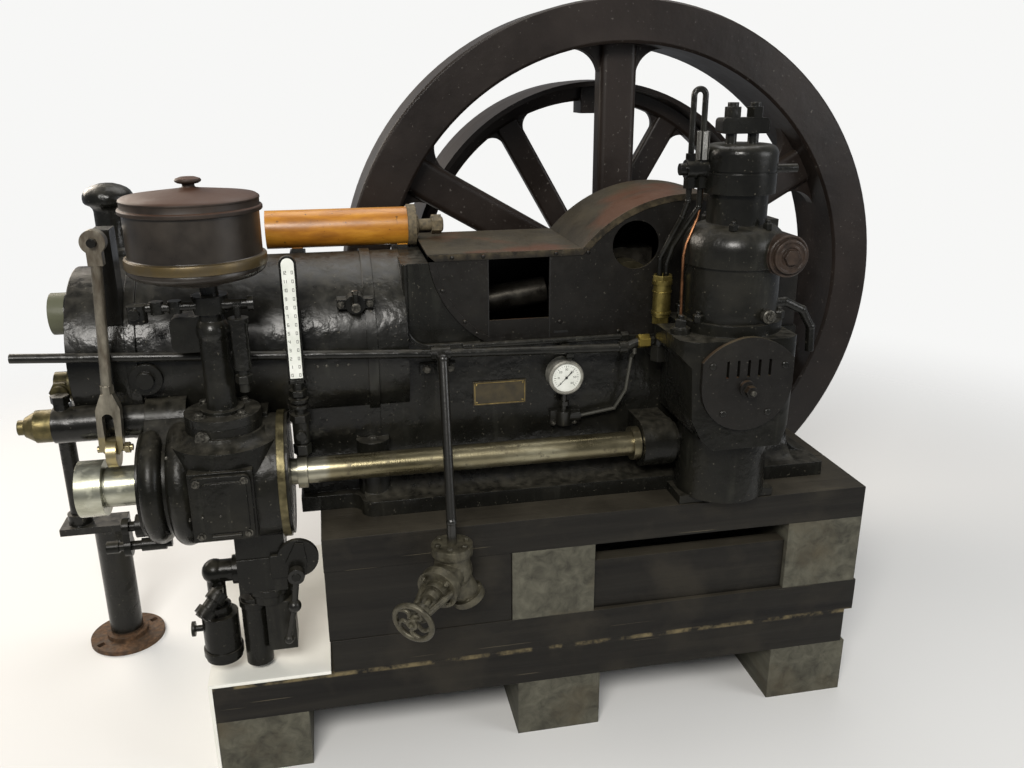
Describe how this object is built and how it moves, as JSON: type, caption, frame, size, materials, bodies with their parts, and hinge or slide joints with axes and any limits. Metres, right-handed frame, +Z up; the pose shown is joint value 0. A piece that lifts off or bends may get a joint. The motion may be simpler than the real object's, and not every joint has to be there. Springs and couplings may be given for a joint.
{
  "type": "stationary diesel engine",
  "caption": "Horizontal single-cylinder stationary diesel engine with open flywheel, belt pulley, side shaft, governor drum and upright air compressor, on a stack of timbers.",
  "frame": {"origin": "on the floor, in the middle of the underside of the middle floor sleeper's front-to-back line through the cylinder axis", "axes": "+Z up; +X along the cylinder axis from the cylinder head to the crankshaft; +Y along the crankshaft from the side-shaft side to the flywheel"},
  "size_m": [2.659, 1.5886, 1.945],
  "materials": {
    "weathered_timber": "weathered grey, rough sawn",
    "black_timber": "black stain, scuffed at the edges",
    "white_board": "white painted board",
    "engine_paint": "thick glossy black-green enamel with runs",
    "wheel_paint": "satin brown-black paint, worn at the rim",
    "bright_steel": "machined, oily",
    "old_brass": "tarnished",
    "varnished_copper": "amber varnish over sheet metal",
    "brown_lid": "worn brown-black paint",
    "gauge": "grey rim and white face",
    "rod_steel": "dark oiled steel",
    "valve_iron": "bare oily iron"
  },
  "bodies": {
    "engine": {"grey_blocks": "weathered_timber", "lower_beams": "black_timber", "upper_beams": "black_timber", "side_planks": "black_timber", "cover_board": "white_board", "bed_frame": "engine_paint", "cylinder_jacket": "engine_paint", "cylinder_head": "engine_paint", "intake_pot": "engine_paint", "crank_hood": "engine_paint", "piston": "bright_steel", "connecting_rod": "rod_steel", "main_bearings": "rod_steel", "shaft_bearing": "engine_paint", "pump_housing": "engine_paint", "housing_cover": "engine_paint", "fuel_pump": "engine_paint", "governor_column": "engine_paint", "governor_drum": "engine_paint", "governor_lid": "brown_lid", "governor_arm": "engine_paint", "push_rod": "rod_steel", "pedestal": "engine_paint", "inlet_pipe": "engine_paint", "sight_scale": "engine_paint", "lubricator": "varnished_copper", "fuel_pipe": "engine_paint", "drop_pipe": "valve_iron", "angle_valve": "valve_iron", "name_plate": "old_brass", "pressure_gauge": "gauge", "oil_filter": "old_brass", "compressor_body": "engine_paint", "shield_cover": "engine_paint", "low_stage_cylinder": "engine_paint", "high_stage_head": "engine_paint", "compressor_pipes": "engine_paint"},
    "crank": {"crankshaft": "bright_steel", "flywheel": "wheel_paint", "belt_pulley": "wheel_paint"},
    "rod_end": {"big_end": "rod_steel"},
    "side_shaft": {"side_shaft": "bright_steel", "cam_drum": "bright_steel"},
    "regulating_lever": {"regulating_lever": "engine_paint"},
    "valve_handwheel": {"handwheel": "valve_iron"}
  },
  "joints": [
    {"name": "crank_turn", "type": "hinge", "parent": "engine", "child": "crank", "pos_m": [0.38, 0, 1.065], "axis": [0, 1, 0], "continuous": true},
    {"name": "crank_pin", "type": "hinge", "parent": "crank", "child": "rod_end", "pos_m": [0.24104, 0, 1.19458], "axis": [0, 1, 0], "continuous": true},
    {"name": "side_shaft_turn", "type": "hinge", "parent": "engine", "child": "side_shaft", "pos_m": [-0.62, -0.27, 0.8], "axis": [1, 0, 0], "continuous": true},
    {"name": "lever_swing", "type": "hinge", "parent": "engine", "child": "regulating_lever", "pos_m": [-0.67, -0.38, 0.573], "axis": [0, 1, 0], "range_deg": [-15, 15]},
    {"name": "handwheel_turn", "type": "hinge", "parent": "engine", "child": "valve_handwheel", "pos_m": [-0.37698, -0.54636, 0.54653], "axis": [-0.5665, -0.8091, -0.1564], "range_deg": [-720, 0]}
  ],
  "couplings": [
    {"joint": "crank_pin", "follows": "crank_turn", "ratio": -1},
    {"joint": "side_shaft_turn", "follows": "crank_turn", "ratio": 0.5}
  ]
}
